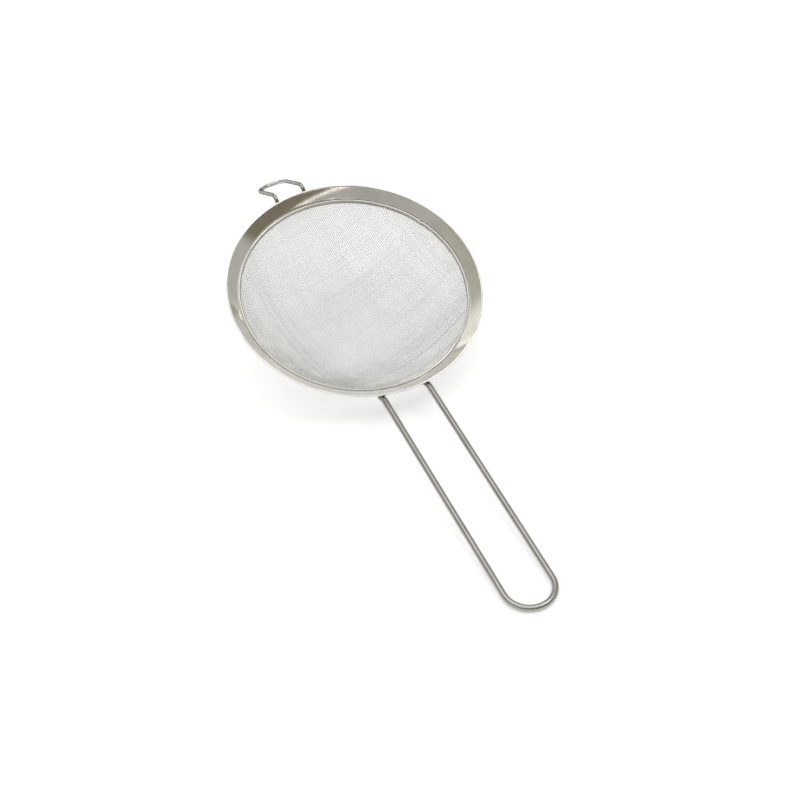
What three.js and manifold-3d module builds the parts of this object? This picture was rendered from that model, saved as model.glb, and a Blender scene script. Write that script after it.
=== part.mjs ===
// A fine-mesh strainer lying on a table. A pressed sheet rim with a folded edge carries a channel ring, which
// grips the edge of the woven bowl. The handle is one bent wire, and a smaller bent wire on the far side is a
// hook that rests on the edge of a pot. Both wires are welded under the rim.
// Lengths are in millimetres and angles in degrees. The pieces are drawn about the rim's axis, with the handle
// along +X and the bowl's mouth at height zero, and then tipped until the strainer lies on the table.
import * as THREE from "three";
import { mergeVertices } from "three/addons/utils/BufferGeometryUtils.js";
import Module from "manifold-3d";

// Woven bowl, a cap of a sphere
const MOUTH_RADIUS = 71.5; // middle of the cloth at the bowl's mouth
const BOWL_DEPTH = 33.9; // from the mouth to the lowest point
const CLOTH_THICKNESS = 0.6; // two crossing wires
const CLOTH_GRIP = 2; // edge of the cloth, bent up from the mouth and held by the clamp ring

// Openings in the cloth: strips along the handle and across it stand for the many wires of the weave
const GRID_ACROSS = 9; // openings from one side of the mouth to the other
const GRID_STRIP = 4.2; // width of a strip
const GRID_EDGE = 3; // plain cloth inside the clamp ring

// Clamp ring, a strip folded over the edge of the cloth
const STRIP_THICKNESS = 0.3;
const CLOTH_CLEARANCE = 0.2; // between the cloth and the strip, on each side
const LEG_STOP = 0.3; // the strip's two legs end this far above the mouth

// Rim, a sloping flange with its outer edge folded under and its inner edge turned down round the clamp ring
const SHEET_THICKNESS = 0.5;
const RIM_SLOPE = 40; // fall of the flange towards the bowl
const FLANGE_WIDTH = 8.15; // from the inner bend to the outer fold, along the slope
const FOLD_GAP = 0.3; // between the flange and the layer folded under it
const FOLD_STOP = 1.4; // the folded layer ends this far from the inner bend
const COLLAR_SLOPE = 87; // of the turned-down inner edge and of the clamp ring, which are almost upright
const COLLAR_DEPTH = 2.3; // turned-down inner edge
const COLLAR_CLEARANCE = 0.25; // between the collar and the clamp ring
const RING_PROUD = 0.1; // crown of the clamp ring above the flange's inner bend

// Handle, one wire bent to a long loop
const HANDLE_WIRE = 4; // diameter
const HANDLE_SPAN = 29.5; // between the middles of the two legs
const HANDLE_LENGTH = 172.5; // from the bend at the rim to the far end of the loop
const HANDLE_RISE = 13.3; // of the legs above the rim's plane
const HANDLE_BEND_RADIUS = 10; // where a leg leaves the rim

// Rest hook, a smaller wire that rises from the rim and drops to a round loop
const HOOK_WIRE = 2.6; // diameter
const HOOK_SPAN = 19.6; // between the middles of the two feet
const HOOK_AZIMUTH = 188.1; // about the rim's axis, from the handle
const HOOK_FOOT = 5.2; // from the rim to the bend
const HOOK_RISE = 30; // of the feet above the rim's plane
const HOOK_REACH = 31.2; // from the bend to the end of the loop
const HOOK_DROP = 42.8; // of the hook below the rim's plane
const HOOK_FOOT_RADIUS = 3; // bend at the rim
const HOOK_BEND_RADIUS = 4.4; // bend at the top of the feet
const HOOK_CORNER_RADIUS = 9.5; // of the loop at its end

// Wires under the rim, and their welds
const WIRE_CLEARANCE = 0.35; // between a wire and the rim
const BEND_OUTSIDE = 0.8; // a wire bends this far outside the rim's edge
const TIP_STOP = 0.2; // a wire ends this far from the end of the folded layer
const WELD_CLEARANCE = 0.3; // between a weld and what it joins
const WELD_SPREAD = 1; // weld metal beside the wire
const WELD_FRONT = 1.3; // weld metal past the tip of the wire
const WELD_LENGTH = 4.6; // along the wire
const WELD_SHARE = 0.8; // depth of the weld, as a share of the wire's radius

// Facets
const ROUND_FACETS = 72; // about the rim's axis
const EDGE_STEPS = 1; // down the plain edge of the bowl
const FOLD_STEPS = 5; // round a folded edge
const WIRE_FACETS = 10; // round a wire
const HANDLE_STEP = 4.4; // along the handle
const HOOK_STEP = 1.6; // along the hook
const WELD_FACETS = 14;

const radians = THREE.MathUtils.degToRad;
const wasm = await Module();
wasm.setup();

// Moves a point of a section along a direction.
function moved(point, direction, distance) {
  return point.clone().addScaledVector(direction, distance);
}

// Points on an arc of a section, from one angle to another, both in radians.
function arc(centre, radius, from, to, steps) {
  const points = [];
  for (let i = 0; i <= steps; i++) {
    const angle = from + ((to - from) * i) / steps;
    const direction = new THREE.Vector2(Math.cos(angle), Math.sin(angle));
    points.push(moved(centre, direction, radius));
  }
  return points;
}

// Turns a section about the rim's axis. A section off the axis closes on its first point.
function turned(section) {
  const onAxis = section[0].x === 0;
  const outline = onAxis ? section : [...section, section[0].clone()];
  return new THREE.LatheGeometry(outline, ROUND_FACETS).rotateX(Math.PI / 2);
}

// An arc in space: a start point turned about an axis through a centre.
class TurnCurve extends THREE.Curve {
  constructor(centre, start, axis, angle) {
    super();
    Object.assign(this, { centre, spoke: start.clone().sub(centre), axis, angle });
  }
  getPoint(t, target = new THREE.Vector3()) {
    return target.copy(this.spoke).applyAxisAngle(this.axis, this.angle * t).add(this.centre);
  }
}

// A wire's route: straight runs between corners, each corner rounded to its own radius.
function bentRoute(corners) {
  const route = new THREE.CurvePath();
  let from = corners[0].point;
  const runTo = (to) => {
    if (to.distanceTo(from) > 1e-6) route.add(new THREE.LineCurve3(from, to));
    from = to;
  };
  for (let i = 1; i < corners.length - 1; i++) {
    const { point, radius } = corners[i];
    const before = point.clone().sub(corners[i - 1].point).normalize();
    const after = corners[i + 1].point.clone().sub(point).normalize();
    const angle = before.angleTo(after);
    const start = moved(point, before, -radius * Math.tan(angle / 2));
    const axis = before.clone().cross(after).normalize();
    const inwards = axis.clone().cross(before);
    const bend = new TurnCurve(moved(start, inwards, radius), start, axis, angle);
    runTo(start);
    route.add(bend);
    from = bend.getPoint(1);
  }
  runTo(corners.at(-1).point);
  return route;
}

// A round wire along a route.
function wire(route, diameter, step) {
  const section = new THREE.Shape().absarc(0, 0, diameter / 2, 0, 2 * Math.PI);
  return new THREE.ExtrudeGeometry(section, {
    extrudePath: route,
    steps: Math.round(route.getLength() / step),
    curveSegments: WIRE_FACETS / 2,
    bevelEnabled: false,
  });
}

// A closed geometry as a solid that can be cut, and back again.
function solidOf(geometry) {
  const loose = geometry.index ? geometry.toNonIndexed() : geometry;
  const bare = new THREE.BufferGeometry().setAttribute("position", loose.getAttribute("position"));
  const merged = mergeVertices(bare, 1e-4);
  const vertProperties = merged.getAttribute("position").array;
  const triVerts = new Uint32Array(merged.index.array);
  return new wasm.Manifold(new wasm.Mesh({ numProp: 3, vertProperties, triVerts }));
}

function geometryOf(solid) {
  const { vertProperties, triVerts } = solid.getMesh();
  return new THREE.BufferGeometry()
    .setAttribute("position", new THREE.BufferAttribute(vertProperties, 3))
    .setIndex(new THREE.BufferAttribute(triVerts, 1));
}

// The bowl's sphere, and the angle of its wall at the mouth.
const bowlRadius = (MOUTH_RADIUS ** 2 + BOWL_DEPTH ** 2) / (2 * BOWL_DEPTH);
const bowlCentre = new THREE.Vector2(0, bowlRadius - BOWL_DEPTH);
const wallAngle = Math.asin(MOUTH_RADIUS / bowlRadius);

// The way the collar runs above the mouth, with the ring and the edge of the cloth: down it, and out of it.
const collarAngle = radians(COLLAR_SLOPE);
const downCollar = new THREE.Vector2(-Math.cos(collarAngle), -Math.sin(collarAngle));
const outOfCollar = new THREE.Vector2(Math.sin(collarAngle), -Math.cos(collarAngle));
const mouth = new THREE.Vector2(MOUTH_RADIUS, 0);
const clothEdge = moved(mouth, downCollar, -CLOTH_GRIP);

// The clamp ring's half widths, inside its channel and outside.
const channelHalf = CLOTH_THICKNESS / 2 + CLOTH_CLEARANCE;
const ringHalf = channelHalf + STRIP_THICKNESS;

// The rim's bend stands beside the ring, just below the ring's crown. The flange rises outwards from it.
const slope = radians(RIM_SLOPE);
const inwards = new THREE.Vector2(-Math.cos(slope), -Math.sin(slope));
const above = new THREE.Vector2(-Math.sin(slope), Math.cos(slope));
const collarOffset = ringHalf + COLLAR_CLEARANCE;
const bendRise = ringHalf - RING_PROUD + collarOffset * Math.cos(collarAngle);
const bendBeside = moved(clothEdge, outOfCollar, collarOffset);
const rimBend = moved(bendBeside, downCollar, -bendRise / Math.sin(collarAngle));

// The outer fold is a half turn about a point midway between its two layers.
const foldHalf = SHEET_THICKNESS + FOLD_GAP / 2;
const foldCentre = moved(moved(rimBend, inwards, -FLANGE_WIDTH), above, -foldHalf);
const foldedWidth = FLANGE_WIDTH - FOLD_STOP;
const rimRadius = foldCentre.x + foldHalf;

// The plain edge of the bowl, which the clamp ring grips.
function clothEdgeSection() {
  const half = CLOTH_THICKNESS / 2;
  const high = wallAngle - Math.PI / 2;
  const low = high - GRID_EDGE / bowlRadius;
  const outside = arc(bowlCentre, bowlRadius + half, low, high, EDGE_STEPS);
  const inside = arc(bowlCentre, bowlRadius - half, high, low, EDGE_STEPS);
  const edge = [moved(clothEdge, outOfCollar, half), moved(clothEdge, outOfCollar, -half)];
  return [...outside, ...edge, ...inside];
}

// One strip of the grid: a box bent along the bowl's sphere, with corners where the other strips cross it.
// It lies at one angle across the bowl, and between two depths in the cloth.
function gridStrip(across, crossings, inner, outer) {
  const end = Math.acos(Math.cos(wallAngle) / Math.cos(across));
  const along = crossings.map((angle) => Math.asin(Math.sin(angle) / Math.cos(across)));
  const stops = [-end, ...along.filter((stop) => Math.abs(stop) < end), end];
  const strip = new THREE.BoxGeometry(2, 2, 2, 1, stops.length - 1, 1);
  const corners = strip.getAttribute("position");
  for (let i = 0; i < corners.count; i++) {
    const stop = stops[Math.round(((corners.getY(i) + 1) / 2) * (stops.length - 1))];
    const side = across + (corners.getX(i) * GRID_STRIP) / 2 / bowlRadius;
    const radius = bowlRadius + (corners.getZ(i) > 0 ? inner : outer);
    const out = radius * Math.cos(side);
    corners.setXYZ(i, radius * Math.sin(side), out * Math.sin(stop), bowlCentre.y - out * Math.cos(stop));
  }
  return strip;
}

// The bowl: two layers of strips that cross and lie half in each other, inside a plain round edge.
function openBowl() {
  const half = CLOTH_THICKNESS / 2;
  const step = (2 * wallAngle) / GRID_ACROSS;
  const angles = Array.from({ length: GRID_ACROSS - 1 }, (_, i) => (i + 1) * step - wallAngle);
  const across = angles.map((angle) => solidOf(gridStrip(angle, angles, -half, half / 2)));
  const along = angles.map((angle) => solidOf(gridStrip(angle, angles, -half / 2, half).rotateZ(Math.PI / 2)));
  const reach = MOUTH_RADIUS - GRID_EDGE / 2;
  const inside = new THREE.CylinderGeometry(reach, reach, 4 * bowlRadius, ROUND_FACETS).rotateX(Math.PI / 2);
  const grid = wasm.Manifold.union([...across, ...along]).intersect(solidOf(inside));
  return geometryOf(grid.add(solidOf(turned(clothEdgeSection()))));
}

function clampRingSection() {
  const leg = CLOTH_GRIP - LEG_STOP;
  const outwards = outOfCollar.angle();
  const crown = arc(clothEdge, ringHalf, outwards, outwards + Math.PI, FOLD_STEPS + 2);
  const channel = arc(clothEdge, channelHalf, outwards + Math.PI, outwards, FOLD_STEPS - 1);
  const foot = (side) => moved(moved(clothEdge, downCollar, leg), outOfCollar, side);
  return [...crown, foot(-ringHalf), foot(-channelHalf), ...channel, foot(channelHalf), foot(ringHalf)];
}

function flangeSection() {
  const upwards = above.angle();
  const outerFold = arc(foldCentre, foldHalf, upwards - Math.PI, upwards, FOLD_STEPS);
  const innerFold = arc(foldCentre, FOLD_GAP / 2, upwards, upwards - Math.PI, FOLD_STEPS - 2);
  const collarEnd = moved(rimBend, downCollar, COLLAR_DEPTH);
  const below = above.clone().negate();
  const mitre = SHEET_THICKNESS / (1 + below.dot(outOfCollar));
  const bendUnder = moved(rimBend, below.clone().add(outOfCollar), mitre);
  const folded = (depth) => moved(moved(foldCentre, inwards, foldedWidth), below, depth);
  return [
    ...outerFold,
    rimBend,
    collarEnd,
    moved(collarEnd, outOfCollar, SHEET_THICKNESS),
    bendUnder,
    ...innerFold,
    folded(FOLD_GAP / 2),
    folded(foldHalf),
  ];
}

// Where a wire lies under the rim: its tip, and the corner where it bends outside the rim's edge.
function wireSeat(diameter, side) {
  const depth = foldHalf + diameter / 2 + WIRE_CLEARANCE;
  const under = moved(foldCentre, above, -depth);
  const tip = moved(under, inwards, foldedWidth - TIP_STOP);
  const edge = moved(under, inwards, (under.x - rimRadius - BEND_OUTSIDE) / Math.cos(slope));
  const placed = ({ x, y }) => new THREE.Vector3(Math.sqrt(x * x - side * side), side, y);
  return { tip: placed(tip), corner: placed(edge) };
}

// The weld round a wire's tip: a flattened drop, cut clear of the rim above it and of the wire in it.
function weld({ tip, corner }, diameter) {
  const radius = diameter / 2;
  const along = corner.clone().sub(tip).normalize();
  const across = new THREE.Vector3(0, 1, 0);
  const up = along.clone().cross(across);
  const middle = tip.clone().addScaledVector(along, WELD_LENGTH / 2 - WELD_FRONT);
  middle.addScaledVector(up, radius);
  const drop = new THREE.SphereGeometry(1, WELD_FACETS, WELD_FACETS / 2);
  drop.scale(WELD_LENGTH / 2, radius + WELD_SPREAD, radius * WELD_SHARE + WIRE_CLEARANCE);
  drop.applyMatrix4(new THREE.Matrix4().makeBasis(along, across, up).setPosition(middle));
  const bore = new THREE.LineCurve3(moved(tip, along, -WELD_CLEARANCE), moved(tip, along, WELD_LENGTH));
  const wireRoom = wire(bore, diameter + 2 * WELD_CLEARANCE, WELD_LENGTH);
  const roof = moved(foldCentre, above, -foldHalf - WELD_CLEARANCE);
  const outerEnd = moved(roof, inwards, -WELD_LENGTH);
  const innerEnd = moved(roof, inwards, FLANGE_WIDTH + COLLAR_DEPTH);
  const lift = new THREE.Vector2(0, FLANGE_WIDTH);
  const rimRoom = turned([outerEnd, outerEnd.clone().add(lift), innerEnd.clone().add(lift), innerEnd]);
  return geometryOf(solidOf(drop).subtract(solidOf(wireRoom)).subtract(solidOf(rimRoom)));
}

// Both legs of a wire: the corners of one side, and the same corners mirrored on the way back.
function bothSides(corners) {
  const back = corners.map(({ point, radius }) => ({
    point: point.clone().multiply(new THREE.Vector3(1, -1, 1)),
    radius,
  }));
  return [...corners, ...back.reverse()];
}

function heading(angle) {
  return new THREE.Vector3(Math.cos(radians(angle)), 0, Math.sin(radians(angle)));
}

const handleSeat = wireSeat(HANDLE_WIRE, HANDLE_SPAN / 2);
const handleEnd = moved(handleSeat.corner, heading(HANDLE_RISE), HANDLE_LENGTH);

function handleRoute() {
  return bentRoute(
    bothSides([
      { point: handleSeat.tip },
      { point: handleSeat.corner, radius: HANDLE_BEND_RADIUS },
      { point: handleEnd, radius: HANDLE_SPAN / 2 },
    ]),
  );
}

const hookSeat = wireSeat(HOOK_WIRE, HOOK_SPAN / 2);

function hookRoute() {
  const bend = moved(hookSeat.corner, heading(HOOK_RISE), HOOK_FOOT);
  return bentRoute(
    bothSides([
      { point: hookSeat.tip },
      { point: hookSeat.corner, radius: HOOK_FOOT_RADIUS },
      { point: bend, radius: HOOK_BEND_RADIUS },
      { point: moved(bend, heading(-HOOK_DROP), HOOK_REACH), radius: HOOK_CORNER_RADIUS },
    ]),
  );
}

function steel(color, roughness) {
  return new THREE.MeshStandardMaterial({ color, roughness, metalness: 1 });
}

function piece(name, geometry, material) {
  const mesh = new THREE.Mesh(geometry, material);
  mesh.name = name;
  return mesh;
}

// A group with a wire and its two welds. The right-hand weld is on the +Y side of the wire's own group.
function weldedWire(name, weldName, route, diameter, step, seat, colour) {
  const group = new THREE.Group();
  group.add(piece(name, wire(route, diameter, step), steel(colour, 0.28)));
  const side = { right: 1, left: -1 };
  for (const [word, sign] of Object.entries(side)) {
    const flip = new THREE.Vector3(1, sign, 1);
    const here = { tip: seat.tip.clone().multiply(flip), corner: seat.corner.clone().multiply(flip) };
    group.add(piece(`${weldName}_${word}`, weld(here, diameter), steel("#8d8a84", 0.5)));
  }
  return group;
}

const handle = weldedWire(
  "handle_wire",
  "handle_weld",
  handleRoute(),
  HANDLE_WIRE,
  HANDLE_STEP,
  handleSeat,
  "#a9a7a0",
);
const hook = weldedWire("rest_hook", "hook_weld", hookRoute(), HOOK_WIRE, HOOK_STEP, hookSeat, "#aaa6a0");
hook.rotation.z = radians(HOOK_AZIMUTH);

const strainer = new THREE.Group();
strainer.add(
  piece("rim_flange", turned(flangeSection()), steel("#a8a498", 0.25)),
  piece("clamp_ring", turned(clampRingSection()), steel("#b4b1a8", 0.3)),
  piece("mesh_bowl", openBowl(), steel("#cfcfcc", 0.45)),
  handle,
  hook,
);

// The strainer lies on the bowl's sphere and on the end of the handle: both have the same lowest height.
const heightBetween = bowlCentre.y - handleEnd.z;
const restDepth = bowlRadius + CLOTH_THICKNESS / 2 - HANDLE_WIRE / 2;
const restReach = Math.hypot(heightBetween, handleEnd.x);
strainer.rotation.y = Math.asin(restDepth / restReach) - Math.atan2(heightBetween, handleEnd.x);

// The origin is on the table, at the middle of the strainer's box.
const box = new THREE.Box3().setFromObject(strainer, true);
const middle = box.getCenter(new THREE.Vector3());
strainer.position.set(-middle.x, -middle.y, -box.min.z);

const part = new THREE.Group();
part.add(strainer);

export default part;
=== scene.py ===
# %% [markdown]
# # A fine-mesh strainer lying on a table
# The strainer is a bowl of woven wire in a pressed steel rim, with a long loop of wire for a handle and a
# small wire hook that rests on the edge of a pot. The solids of all nine pieces are loaded first, because
# they fix where everything is. Each piece is then made again with the surface that the real one shows.

# %% Load the solids
import math

import bmesh
import bpy
from mathutils import Matrix, Vector, noise


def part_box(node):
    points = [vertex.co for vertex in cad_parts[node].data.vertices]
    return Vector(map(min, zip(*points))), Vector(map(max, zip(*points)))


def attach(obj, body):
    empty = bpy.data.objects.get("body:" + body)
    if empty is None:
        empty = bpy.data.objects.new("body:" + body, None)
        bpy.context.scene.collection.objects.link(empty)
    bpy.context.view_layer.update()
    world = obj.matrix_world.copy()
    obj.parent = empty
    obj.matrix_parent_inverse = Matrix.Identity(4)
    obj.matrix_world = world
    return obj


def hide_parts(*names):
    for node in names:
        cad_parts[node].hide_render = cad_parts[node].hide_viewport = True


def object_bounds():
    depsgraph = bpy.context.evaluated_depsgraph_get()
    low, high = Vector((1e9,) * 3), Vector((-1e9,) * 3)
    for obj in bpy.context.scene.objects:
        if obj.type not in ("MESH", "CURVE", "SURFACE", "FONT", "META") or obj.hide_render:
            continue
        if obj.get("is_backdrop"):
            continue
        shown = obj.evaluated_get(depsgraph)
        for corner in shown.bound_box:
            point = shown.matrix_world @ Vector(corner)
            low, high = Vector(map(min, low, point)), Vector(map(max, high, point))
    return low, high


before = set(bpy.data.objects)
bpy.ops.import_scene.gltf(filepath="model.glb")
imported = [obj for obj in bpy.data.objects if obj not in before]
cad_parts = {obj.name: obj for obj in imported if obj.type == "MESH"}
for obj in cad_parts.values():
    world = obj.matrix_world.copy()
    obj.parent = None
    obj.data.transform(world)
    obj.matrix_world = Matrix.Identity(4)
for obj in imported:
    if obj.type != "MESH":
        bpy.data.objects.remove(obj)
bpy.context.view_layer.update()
bpy.context.scene.view_settings.view_transform = "Standard"
print("solids:", ", ".join(sorted(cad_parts)))

# %% [markdown]
# ## Sizes
# The strainer is drawn about the axis of its rim, in millimetres, with the bowl's mouth at height zero and
# the handle along +X. These are the sizes that the solids were made from. One matrix then takes every
# finished mesh to its place on the table, so no piece has to be fitted by eye.

# %% Sizes of the bowl, the clamp strip and the rim
MM = 0.001
MOUTH_RADIUS = 71.5
BOWL_DEPTH = 33.9
CLOTH_THICKNESS = 0.6
CLOTH_GRIP = 2.0
LEG_STOP = 0.3
STRIP_THICKNESS = 0.3
CHANNEL_HALF = CLOTH_THICKNESS / 2 + 0.2
RING_HALF = CHANNEL_HALF + STRIP_THICKNESS
SHEET_THICKNESS = 0.5
FLANGE_WIDTH = 8.15
FOLD_GAP = 0.3
FOLDED_WIDTH = FLANGE_WIDTH - 1.4
COLLAR_DEPTH = 2.3
COLLAR_SLOPE = math.radians(87)
COLLAR_OFFSET = RING_HALF + 0.25
RING_PROUD = 0.1
RIM_SLOPE = math.radians(40)

bowl_radius = (MOUTH_RADIUS**2 + BOWL_DEPTH**2) / (2 * BOWL_DEPTH)
bowl_centre = Vector((0, 0, bowl_radius - BOWL_DEPTH))
wall_angle = math.asin(MOUTH_RADIUS / bowl_radius)
down_collar = Vector((-math.cos(COLLAR_SLOPE), 0, -math.sin(COLLAR_SLOPE)))
out_of_collar = Vector((math.sin(COLLAR_SLOPE), 0, -math.cos(COLLAR_SLOPE)))
cloth_edge = Vector((MOUTH_RADIUS, 0, 0)) - down_collar * CLOTH_GRIP

inwards = Vector((-math.cos(RIM_SLOPE), 0, -math.sin(RIM_SLOPE)))
above = Vector((-math.sin(RIM_SLOPE), 0, math.cos(RIM_SLOPE)))
bend_rise = RING_HALF - RING_PROUD + COLLAR_OFFSET * math.cos(COLLAR_SLOPE)
rim_bend = cloth_edge + out_of_collar * COLLAR_OFFSET - down_collar * (bend_rise / math.sin(COLLAR_SLOPE))
FOLD_HALF = SHEET_THICKNESS + FOLD_GAP / 2
fold_centre = rim_bend - inwards * FLANGE_WIDTH - above * FOLD_HALF
rim_radius = fold_centre.x + FOLD_HALF
print(f"bowl sphere {bowl_radius:.1f} mm, rim radius {rim_radius:.1f} mm")

# %% Sizes and routes of the two wires
HANDLE_WIRE = 4.0
HANDLE_SPAN = 29.5
HANDLE_LENGTH = 172.5
HANDLE_RISE = math.radians(13.3)
HANDLE_BEND = 10.0
HOOK_WIRE = 2.6
HOOK_SPAN = 19.6
HOOK_AZIMUTH = math.radians(188.1)
HOOK_FOOT = 5.2
HOOK_RISE = math.radians(30)
HOOK_REACH = 31.2
HOOK_DROP = math.radians(42.8)
HOOK_FOOT_RADIUS = 3.0
HOOK_BEND_RADIUS = 4.4
HOOK_CORNER_RADIUS = 9.5
WIRE_CLEARANCE = 0.35
TIP_STOP = 0.2
CORNER_OUTSIDE = 0.8


def wire_seat(diameter, side):
    """Where a wire lies under the rim: its tip, and the corner where it bends outside the rim."""
    under = fold_centre - above * (FOLD_HALF + diameter / 2 + WIRE_CLEARANCE)
    tip = under + inwards * (FOLDED_WIDTH - TIP_STOP)
    edge = under + inwards * ((under.x - rim_radius - CORNER_OUTSIDE) / math.cos(RIM_SLOPE))
    return [Vector((math.sqrt(p.x**2 - side**2), side, p.z)) for p in (tip, edge)]


def heading(angle):
    return Vector((math.cos(angle), 0, math.sin(angle)))


def both_sides(corners):
    """The corners of one leg of a wire, and the same corners mirrored on the way back."""
    back = [(Vector((p.x, -p.y, p.z)), radius) for p, radius in reversed(corners)]
    return corners + back


handle_tip, handle_corner = wire_seat(HANDLE_WIRE, HANDLE_SPAN / 2)
handle_end = handle_corner + heading(HANDLE_RISE) * HANDLE_LENGTH
handle_corners = both_sides([(handle_tip, 0), (handle_corner, HANDLE_BEND), (handle_end, HANDLE_SPAN / 2)])

hook_tip, hook_corner = wire_seat(HOOK_WIRE, HOOK_SPAN / 2)
hook_bend = hook_corner + heading(HOOK_RISE) * HOOK_FOOT
hook_end = hook_bend + heading(-HOOK_DROP) * HOOK_REACH
hook_corners = both_sides([
    (hook_tip, 0),
    (hook_corner, HOOK_FOOT_RADIUS),
    (hook_bend, HOOK_BEND_RADIUS),
    (hook_end, HOOK_CORNER_RADIUS),
])
print(f"handle reaches {handle_end.x:.1f} mm from the rim's axis")

# %% How the strainer lies: on the bowl's sphere and on the end of the handle
height_between = bowl_centre.z - handle_end.z
rest_depth = bowl_radius + CLOTH_THICKNESS / 2 - HANDLE_WIRE / 2
rest_reach = math.hypot(height_between, handle_end.x)
tilt = math.asin(rest_depth / rest_reach) - math.atan2(height_between, handle_end.x)

rim_low, rim_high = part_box("rim_flange")
rim_middle = (rim_low.x + rim_high.x) / 2 - fold_centre.z * math.sin(tilt) * MM
table_height = (bowl_radius + CLOTH_THICKNESS / 2 - bowl_centre.z * math.cos(tilt)) * MM
on_table = Matrix.Translation((rim_middle, 0, table_height))
on_table = on_table @ Matrix.Rotation(tilt, 4, "Y") @ Matrix.Scale(MM, 4)
hook_turn = Matrix.Rotation(HOOK_AZIMUTH, 4, "Z")
print(f"tipped {math.degrees(tilt):.2f} degrees, rim axis at {rim_middle * 1000:.1f} mm")

# %% [markdown]
# ## Camera
# The camera stands beyond the end of the handle, off to one side, and looks down on the bowl. Its place was
# found from the ellipse of the rim, the two legs and the loop of the handle, which fix a view very well.

# %% Camera
VIEW_HEADING = math.radians(156.948)
VIEW_DIP = math.radians(42.278)
VIEW_ROLL = math.radians(1.98)
VIEW_FROM = Vector((0.73261, -0.28339, 0.62276)) + Vector((rim_middle, 0, table_height))

forward = Vector((math.cos(VIEW_HEADING), math.sin(VIEW_HEADING), 0)) * math.cos(VIEW_DIP)
forward.z = -math.sin(VIEW_DIP)
level_right = Vector((math.sin(VIEW_HEADING), -math.cos(VIEW_HEADING), 0))
level_down = forward.cross(level_right)
view_right = level_right * math.cos(VIEW_ROLL) + level_down * math.sin(VIEW_ROLL)
view_down = level_down * math.cos(VIEW_ROLL) - level_right * math.sin(VIEW_ROLL)

camera = bpy.data.objects.new("camera", bpy.data.cameras.new("camera"))
camera.data.lens = 72
camera.data.sensor_width = 36
view_axes = Matrix((view_right, -view_down, -forward)).transposed().to_4x4()
camera.matrix_world = Matrix.Translation(VIEW_FROM) @ view_axes
bpy.context.scene.collection.objects.link(camera)
bpy.context.scene.camera = camera
print("camera", [round(x, 3) for x in VIEW_FROM])

# %% [markdown]
# ## Building node trees
# Every tree in this file is made with the same small helpers. One adds a node and fills its sockets. Others
# add a sum, a soft step or a noise texture, and one gives a group its named inputs and outputs.

# %% Helpers for node trees
def fill(tree, socket, value):
    """Links a socket to another one, or gives it a plain value."""
    if isinstance(value, bpy.types.NodeSocket):
        tree.links.new(value, socket)
    elif value is not None:
        socket.default_value = value


def add(tree, kind, sockets=None, **settings):
    """Adds a node, sets its options, and fills its input sockets by name or number."""
    made = tree.nodes.new(kind)
    for name, value in settings.items():
        setattr(made, name, value)
    for key, value in (sockets or {}).items():
        fill(tree, made.inputs[key], value)
    return made


def sum_of(tree, operation, *terms):
    """Adds a Math node and gives its result."""
    return add(tree, "ShaderNodeMath", dict(enumerate(terms)), operation=operation).outputs[0]


def soft_step(tree, value, low, high):
    """A mask that goes smoothly from 0 at one value to 1 at another."""
    span = {0: value, 1: low, 2: high}
    return add(tree, "ShaderNodeMapRange", span, interpolation_type="SMOOTHSTEP").outputs[0]


def clouds(tree, place, scale, detail, roughness=0.5):
    """Adds a noise texture and gives its outputs."""
    values = {"Vector": place, "Scale": scale, "Detail": detail, "Roughness": roughness}
    return add(tree, "ShaderNodeTexNoise", values).outputs


def new_group(name, kind, inputs, outputs):
    """A node group with named sockets, and its two end nodes."""
    tree = bpy.data.node_groups.new(name, kind)
    for title, socket, default in inputs:
        made = tree.interface.new_socket(title, in_out="INPUT", socket_type="NodeSocket" + socket)
        if default is not None:
            made.default_value = default
    for title, socket in outputs:
        tree.interface.new_socket(title, in_out="OUTPUT", socket_type="NodeSocket" + socket)
    start = tree.nodes.new("NodeGroupInput")
    end = tree.nodes.new("NodeGroupOutput")
    return tree, start.outputs, end.inputs


print("helpers ready")

# %% [markdown]
# ## Table and light
# The strainer lies on a plain white table. A floor that only looks white because of strong lamps would burn
# out the steel too, so the lamp stays weak and the floor adds some white of its own, for the camera and for
# mirror reflections alone. The shadow of the strainer stays, because most of the floor's tone is still lit.

# %% Table
FLOOR_HALF = 4.0
FLOOR_COLOUR = (0.88, 0.885, 0.91, 1)
FLOOR_LIFT = 0.37

floor_mesh = bpy.data.meshes.new("table")
floor_corners = [(x * FLOOR_HALF, y * FLOOR_HALF, 0) for x, y in ((-1, -1), (1, -1), (1, 1), (-1, 1))]
floor_mesh.from_pydata(floor_corners, [], [(0, 1, 2, 3)])
floor = bpy.data.objects.new("table", floor_mesh)
bpy.context.scene.collection.objects.link(floor)

white_table = bpy.data.materials.new("white table")
white_table.use_nodes = True
tree = white_table.node_tree
tree.nodes.clear()
rays = add(tree, "ShaderNodeLightPath").outputs
seen = sum_of(tree, "MAXIMUM", rays["Is Camera Ray"], rays["Is Glossy Ray"])
matt = add(tree, "ShaderNodeBsdfDiffuse", {"Color": FLOOR_COLOUR})
glow = add(tree, "ShaderNodeEmission", {"Strength": sum_of(tree, "MULTIPLY", seen, FLOOR_LIFT)})
top = add(tree, "ShaderNodeAddShader", {0: matt.outputs[0], 1: glow.outputs[0]})
clear = add(tree, "ShaderNodeBsdfTransparent")
under = add(tree, "ShaderNodeNewGeometry").outputs["Backfacing"]
one_sided = add(tree, "ShaderNodeMixShader", {0: under, 1: top.outputs[0], 2: clear.outputs[0]})
add(tree, "ShaderNodeOutputMaterial", {"Surface": one_sided.outputs[0]})
floor_mesh.materials.append(white_table)
floor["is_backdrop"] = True
print("table", 2 * FLOOR_HALF, "m wide")

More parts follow.
